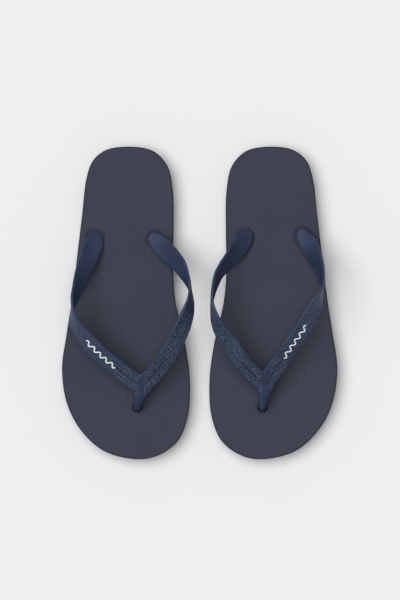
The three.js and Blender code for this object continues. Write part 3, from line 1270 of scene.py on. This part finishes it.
@dataclass
class Strap:
    """The moulded strap: two arms, the toe post, the rear necks and the plugs, all in one piece.

    Its relief runs along the front arms. Fades named stripe_side and panel_seam count from the seam over the
    yoke, panel_margin and the rim's walls from the band's edge, panel_front lengthwise from the yoke, and the
    others along the band from the yoke.
    """

    last: Last
    finish: StrapFinish
    voxel: float = 0.5 * MM
    post_radius: float = 3.8 * MM
    neck_radius: float = 4 * MM
    neck_rise: float = 1.5 * MM
    plug_radius: float = 10 * MM
    plug_top: float = 3.5 * MM
    plug_thickness: float = 2.8 * MM
    plug_rounding: float = 0.6 * MM
    around: int = 40
    pad_crown: float = 0.7
    softened_yoke: Fade = (9 * MM, 17 * MM)
    passes: int = 14
    even_passes: int = 3
    seam_offset: float = 1 * MM
    face_depth: float = 0.2 * MM
    front_end: Fade = (78 * MM, 96 * MM)
    rim_start: Fade = (8 * MM, 16 * MM)
    rim_outer_wall: Fade = (0.1 * MM, 0.7 * MM)
    rim_inner_wall: Fade = (1.5 * MM, 2.1 * MM)
    rim_height: float = 0.35 * MM
    lateral_groove: Fade = (6 * MM, 33 * MM)
    medial_groove: Fade = (3 * MM, 33 * MM)
    groove_ramp: float = 3 * MM
    groove_half_width: float = 0.3 * MM
    groove_wall: float = 0.5 * MM
    groove_depth: float = 0.65 * MM
    panel_margin: Fade = (0.5 * MM, 1.3 * MM)
    panel_seam: Fade = (3.2 * MM, 4.4 * MM)
    panel_front: Fade = (-8 * MM, -6 * MM)
    rim_smoothing: float = 0.75
    mark_smoothing: float = 0.55
    mark_start: Fade = (22 * MM, 30 * MM)
    stripe_side: Fade = (2.2 * MM, 3.2 * MM)
    stripe_end: Fade = (6 * MM, 9 * MM)

    def __post_init__(self) -> None:
        """Lays out the two arms."""
        self.arms = {side: Arm(self.last, side) for side in Side}

    def stem(self) -> Solid:
        """The toe post, from flat in the yoke to round at the footbed, and down to its plug.

        Returns:
            The corners and the faces.
        """
        yoke = np.array(LIES[self.last.foot].yoke)
        reach = np.array(self.last.toe_anchor) - yoke
        top = self.last.top
        # Each station: share of the way from yoke to anchor, lift, half width, half thickness.
        stations = [
            (-0.12, 17.6, 5.6, 1.3), (0.12, 16.8, 6.2, 1.5), (0.34, 15.2, 5.8, 1.9), (0.55, 12.8, 4.6, 2.7),
            (0.74, 9.6, 3.9, 3.4), (0.9, 6.0, 3.8, 3.8), (0.98, 2.8, 3.8, 3.8), (1.0, 0.6, 3.8, 3.8),
            (1.0, -6.0, 3.8, 3.8), (1.0, -13.6, 3.8, 3.8),
        ]
        rows = np.array([(*(yoke + share * reach), top + lift * MM, wide * MM, thick * MM)
                         for share, lift, wide, thick in stations])
        t = np.linspace(0, 1, 90)
        route = Spline(rows[:, :3])
        middle = route.at(t)
        sizes = np.column_stack([np.interp(t, np.linspace(0, 1, len(rows)), rows[:, k]) for k in (3, 4)])
        along = unit(np.gradient(middle, axis=0))
        forward_lean = np.array([0, 0.35, 1.0])
        sideways = unit(np.cross(along, forward_lean))
        straight_down = along[:, 2:] < -0.95
        sideways = np.where(straight_down, np.array([[-1.0, 0, 0]]), sideways)
        for k in range(1, len(sideways)):
            if sideways[k] @ sideways[k - 1] < 0:
                sideways[k] *= -1
        outward = np.cross(along, sideways)
        sections = []
        for k in range(len(t)):
            ring = superellipse(sizes[k, 0], sizes[k, 1], corners=32, squareness=2.2)
            sections.append(middle[k] + ring[:, :1] * sideways[k] + ring[:, 1:] * outward[k])
        return lofted(np.array(sections))

    def pad(self) -> Solid:
        """The lens-shaped pad where the two arms and the toe post meet.

        Returns:
            The corners and the faces.
        """
        arm = self.arms[Side.LATERAL]
        lean = math.radians(arm.yoke_tilt)
        cosine, sine = math.cos(lean), math.sin(lean)
        sections = []
        for turn in np.linspace(-0.49 * math.pi, 0.49 * math.pi, 24):
            radius = 0.5 * arm.width * math.cos(turn)
            ring = superellipse(radius, radius, self.around, squareness=2)
            rise = self.pad_crown * arm.thickness * math.sin(turn)
            turned = [(u, v * cosine - rise * sine, v * sine + rise * cosine) for u, v in ring]
            sections.append(np.array(turned) + arm.middles[0])
        return lofted(np.array(sections))

    def plug(self, spot: tuple[float, float], shaft: float, top: float) -> Solid:
        """A shaft with the disc that holds it under the midsole.

        Args:
            spot: Its axis in the shoe's own frame.
            shaft: The shaft's radius.
            top: How high the shaft goes.

        Returns:
            The corners and the faces.
        """
        low, high, edge = self.plug_top - self.plug_thickness, self.plug_top, self.plug_rounding
        profile = [
            (self.plug_radius - edge, low), (self.plug_radius, low + edge),
            (self.plug_radius, high - edge), (self.plug_radius - edge, high),
            (shaft + 0.5 * MM, high), (shaft, high + 0.4 * MM), (shaft, top),
        ]
        sections = []
        for radius, height in profile:
            ring = superellipse(radius, radius, self.around, squareness=2)
            level = np.full(self.around, height)
            sections.append(np.column_stack([spot[0] + ring[:, 0], spot[1] + ring[:, 1], level]))
        return lofted(np.array(sections))

    def build(self) -> bpy.types.Object:
        """Makes the strap as one skin over all its shapes, softens the joins and adds the relief.

        Returns:
            The object, in its place.
        """
        top = self.last.top
        shells = [arm.band() for arm in self.arms.values()]
        shells += [self.pad(), self.stem()]
        shells.append(self.plug(self.last.toe_anchor, self.post_radius, top))
        for spot in (self.last.lateral_anchor, self.last.medial_anchor):
            shells.append(self.plug(spot, self.neck_radius, top + self.neck_rise))
        corners, faces, count = [], [], 0
        for vertices, shell in shells:
            corners.append(vertices)
            faces += [[count + k for k in face] for face in shell]
            count += len(vertices)
        piece = new_mesh(f"{self.last.foot.word}_strap", np.vstack(corners), faces)
        skin = piece.modifiers.new("skin", "REMESH")
        skin.mode, skin.voxel_size, skin.adaptivity = "VOXEL", self.voxel, 0
        bake_modifiers(piece)
        self.soften(piece)
        self.emboss(piece)
        move_corners(piece, self.last.place(corners_of(piece)))
        if self.last.foot is Foot.LEFT:
            piece.data.flip_normals()
        piece.data.update()
        piece.data.shade_smooth()
        return piece

    def soften(self, piece: bpy.types.Object) -> None:
        """Evens out the skin, and rounds the corners between arms and post more than the rest.

        Args:
            piece: The strap.
        """
        vertices = corners_of(piece)
        edges = np.empty(len(piece.data.edges) * 2, int)
        piece.data.edges.foreach_get("vertices", edges)
        first, second = edges.reshape(-1, 2).T
        degree = np.bincount(first, minlength=len(vertices)) + np.bincount(second, minlength=len(vertices))
        yoke = np.array(self.arms[Side.LATERAL].middles[0])
        near = 1 - smooth_step(np.linalg.norm(vertices - yoke, axis=1), *self.softened_yoke)
        for turn in range(self.passes):
            total = np.zeros_like(vertices)
            np.add.at(total, first, vertices[second])
            np.add.at(total, second, vertices[first])
            share = 0.5 if turn < self.even_passes else 0.5 * near[:, None]
            vertices += share * (total / degree[:, None] - vertices)
        move_corners(piece, vertices)

    def emboss(self, piece: bpy.types.Object) -> None:
        """Raises the rims and sinks the groove of the front arms, and marks what is pebbled or striped and
        where the groove takes painted shade.

        Args:
            piece: The strap.
        """
        vertices = corners_of(piece)
        pebbled = np.zeros(len(vertices))
        striped = np.zeros(len(vertices))
        sunk = np.zeros(len(vertices))
        yoke = LIES[self.last.foot].yoke
        seam = yoke[0] - self.seam_offset
        post_free = smooth_step(vertices[:, 1] - yoke[1], *self.panel_front)
        stripe = 1 - smooth_step(np.abs(vertices[:, 0] - seam), *self.stripe_side)
        reach = {side: arm.locate(vertices) for side, arm in self.arms.items()}
        closest = np.argmin([np.hypot(reach[side][1], reach[side][2]) for side in Side], axis=0)
        for index, side in enumerate(Side):
            distance, across, depth, width, out = reach[side]
            mine = (closest == index) & (depth > self.face_depth) & (np.abs(across) < width / 2)
            edge = width / 2 - np.abs(across)
            front = 1 - smooth_step(distance, *self.front_end)
            rim = smooth_step(edge, *self.rim_outer_wall) * (1 - smooth_step(edge, *self.rim_inner_wall))
            rim *= front * smooth_step(distance, *self.rim_start)
            start, end = self.lateral_groove if side is Side.LATERAL else self.medial_groove
            groove = bump(across, self.groove_half_width, self.groove_wall)
            groove *= smooth_step(distance, start, start + self.groove_ramp)
            groove *= 1 - smooth_step(distance, end - self.groove_ramp, end)
            height = np.where(mine, self.rim_height * rim - self.groove_depth * groove, 0)
            vertices += out * height[:, None]
            panel = front * smooth_step(edge, *self.panel_margin)
            panel = panel * (1 - self.rim_smoothing * rim) * (1 - groove)
            panel *= smooth_step(np.abs(vertices[:, 0] - seam), *self.panel_seam)
            if side is Side.LATERAL:
                panel *= 1 - self.mark_smoothing * smooth_step(distance, *self.mark_start)
            pebbled += np.where(mine, panel * post_free, 0)
            # The groove mask carries painted shade for the groove's depth.
            sunk += np.where(mine, groove, 0)
            striped += np.where(mine, stripe * (1 - smooth_step(distance, *self.stripe_end)), 0)
        move_corners(piece, vertices)
        for name, values in (("pebbled", pebbled), ("striped", striped), ("sunk", sunk)):
            mark_corners(piece, name, values)

    def dress(self, piece: bpy.types.Object) -> None:
        """Gives the strap its finish, hides the CAD strap and bakes its transform.

        Args:
            piece: The strap.
        """
        piece.data.materials.clear()
        piece.data.materials.append(self.finish.material())
        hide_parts(f"{self.last.foot.word}_strap")
        self.last.bend(piece)


@dataclass
class StrapMark:
    """The wavy line in relief along the lateral arm."""

    arm: Arm
    finish: MarkFinish
    start: float = 30 * MM
    length: float = 36 * MM
    height: float = 5 * MM
    stroke: float = 1.3 * MM
    relief: float = 0.55 * MM
    waves: int = 5
    stations: int = 161
    around: int = 16
    squareness: float = 3.2
    end_share: float = 0.02
    lift_share: float = 0.2

    def build(self) -> bpy.types.Object:
        """Makes the line as a soft ribbon that follows the arm's outer face.

        Returns:
            The object, in its place.
        """
        swing = (self.height - self.stroke) / 2
        pace = 2 * math.pi * self.waves / self.length
        ends = np.linspace(-0.5, 0.5, self.stations) * self.length
        slope = np.arctan(swing * pace * np.cos(pace * ends))
        ring = superellipse(self.stroke / 2, self.relief / 2, self.around, self.squareness)
        taper = np.clip((self.length / 2 - np.abs(ends)) / (0.5 * self.stroke), self.end_share, 1)
        rounding = np.sqrt(1 - (1 - taper) ** 2)
        sections = []
        for k, place in enumerate(ends):
            side = ring[:, 0] * rounding[k]
            distance = self.start + self.length / 2 + place - side * math.sin(slope[k])
            middle, _, across, out = self.arm.frames(self.arm.t_of(distance))
            sway = swing * math.sin(pace * place) + side * math.cos(slope[k])
            lift = self.arm.thickness / 2 + self.lift_share * self.relief + ring[:, 1]
            sections.append(middle + across * sway[:, None] + out * lift[:, None])
        vertices, faces = lofted(np.array(sections))
        return new_mesh(f"{self.arm.last.foot.word}_strap_mark", self.arm.last.place(vertices), faces)

    def dress(self, piece: bpy.types.Object) -> None:
        """Gives the line its finish, hides the CAD line and bakes its transform.

        Args:
            piece: The line.
        """
        piece.data.materials.append(self.finish.material())
        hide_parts(f"{self.arm.last.foot.word}_strap_mark")
        self.arm.last.bend(piece)


# --- Shoe -----------------------------------------------------------------------------------------------


@dataclass
class FlipFlop:
    """One shoe: its three sole layers, its strap and the line on its strap."""

    foot: Foot
    foam: FoamFinish
    core: FoamFinish
    tread: TreadFinish
    moulded: StrapFinish
    ink: MarkFinish
    cement_overlap: float = 0.12 * MM
    edge_rounding: float = 1.3 * MM
    seam_rounding: float = 0.3 * MM

    def height_of(self, layer: str) -> tuple[float, float]:
        """The bottom and top of a sole layer in the frame."""
        low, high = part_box(f"{self.foot.word}_rear_{layer}")
        return low.z, high.z

    def build(self) -> list[bpy.types.Object]:
        """Makes and dresses every piece of the shoe.

        Returns:
            The pieces, from the footbed to the line on the strap.
        """
        last = Last(self.foot)
        overlap, edge, seam = self.cement_overlap, self.edge_rounding, self.seam_rounding
        tread_low, tread_high = self.height_of("outsole")
        core_low, core_high = self.height_of("midsole")
        bed_low, bed_high = self.height_of("footbed")
        strap = Strap(last, self.moulded)
        sections = [
            Footbed(last, "footbed", bed_low - overlap, bed_high, edge, seam, self.foam),
            SoleLayer(last, "midsole", core_low - overlap, core_high + overlap, seam, seam, self.core),
            Outsole(last, "outsole", tread_low, tread_high + overlap, seam, edge, self.tread),
            strap,
            StrapMark(strap.arms[Side.LATERAL], self.ink),
        ]
        pieces = []
        for section in sections:
            piece = section.build()
            section.dress(piece)
            pieces.append(piece)
        return pieces


def report(piece: bpy.types.Object) -> None:
    """Logs a finished piece and the size of its mesh."""
    LOG.info("%s: %d corners, %d faces", piece.name, len(piece.data.vertices), len(piece.data.polygons))


# --- Studio ---------------------------------------------------------------------------------------------


@dataclass
class Studio:
    """The pale floor, the soft light from the heel end on the right shoe's side, and the camera above."""

    camera_height: float = 3.0
    view_height: float = 0.5368
    look_at: tuple[float, float] = (0.0003, 0.0027)
    focus_height: float = 16 * MM
    film_width: float = 36
    floor_size: float = 6.0
    board: Colour = (0.8, 0.8, 0.815, 1.0)
    sky_colour: Colour = (0.98, 0.985, 1.0, 1.0)
    sky_strength: float = 0.26
    key_side: tuple[float, float] = (-0.88, 0.47)
    key_lean: float = 18
    key_strength: float = 2.71
    key_softness: float = 60

    def camera(self) -> None:
        """Sets the camera straight above, with the heels at the top of the picture."""
        data = bpy.data.cameras.new("camera")
        data.sensor_width = self.film_width
        data.lens = self.film_width * (self.camera_height - self.focus_height) / self.view_height
        camera = bpy.data.objects.new("camera", data)
        camera.location = (*self.look_at, self.camera_height)
        bpy.context.scene.collection.objects.link(camera)
        bpy.context.scene.camera = camera

    def floor(self) -> None:
        """Lays the floor under the shoes."""
        half = self.floor_size / 2
        corners = np.array([(-half, -half, 0), (half, -half, 0), (half, half, 0), (-half, half, 0)])
        floor = new_mesh("studio_floor", corners, [[0, 1, 2, 3]])
        floor.data.materials.append(FloorFinish("studio_board", self.board).material())

    def key(self) -> None:
        """Lights the shoes from above, from the heel end on the right shoe's side."""
        data = bpy.data.lights.new("key", "SUN")
        data.energy, data.angle = self.key_strength, math.radians(self.key_softness)
        key = bpy.data.objects.new("key", data)
        lean = math.radians(self.key_lean)
        slant = math.sin(lean)
        toward = Vector((self.key_side[0] * slant, self.key_side[1] * slant, math.cos(lean)))
        key.rotation_euler = toward.to_track_quat("Z", "Y").to_euler()
        bpy.context.scene.collection.objects.link(key)

    def sky(self) -> None:
        """Surrounds the scene with even white light."""
        world = bpy.data.worlds.new("studio")
        world.use_nodes = True
        background = world.node_tree.nodes["Background"]
        background.inputs["Color"].default_value = self.sky_colour
        background.inputs["Strength"].default_value = self.sky_strength
        bpy.context.scene.world = world

    def build(self) -> None:
        """Sets up the camera, floor and light."""
        self.camera()
        self.floor()
        self.sky()
        self.key()
        scene = bpy.context.scene
        scene.view_settings.view_transform = "Standard"
        scene.view_settings.look = "None"


def main() -> None:
    """Builds the studio and both shoes in order."""
    logging.basicConfig(level=logging.INFO, format="%(name)s: %(message)s")
    Studio().build()
    foam = FoamFinish("footbed_foam", shade(0.028, 0.0318, 0.0532), shade(0.0344, 0.0386, 0.0624))
    core = FoamFinish("midsole_foam", shade(0.028, 0.032, 0.055), shade(0.034, 0.038, 0.062),
                      grain_size=1.3 * MM)
    tread = TreadFinish("outsole_tread", shade(0.02, 0.023, 0.038), shade(0.032, 0.035, 0.05))
    # The strap's second colour is a painted glint on the pebble crowns.
    moulded = StrapFinish("strap_pvc", shade(0.0197, 0.0304, 0.0668), shade(0.1, 0.148, 0.236))
    ink = MarkFinish("mark_ink", shade(0.84, 0.85, 0.87))
    for foot in Foot:
        for piece in FlipFlop(foot, foam, core, tread, moulded, ink).build():
            report(piece)


if __name__ == "__main__":
    main()
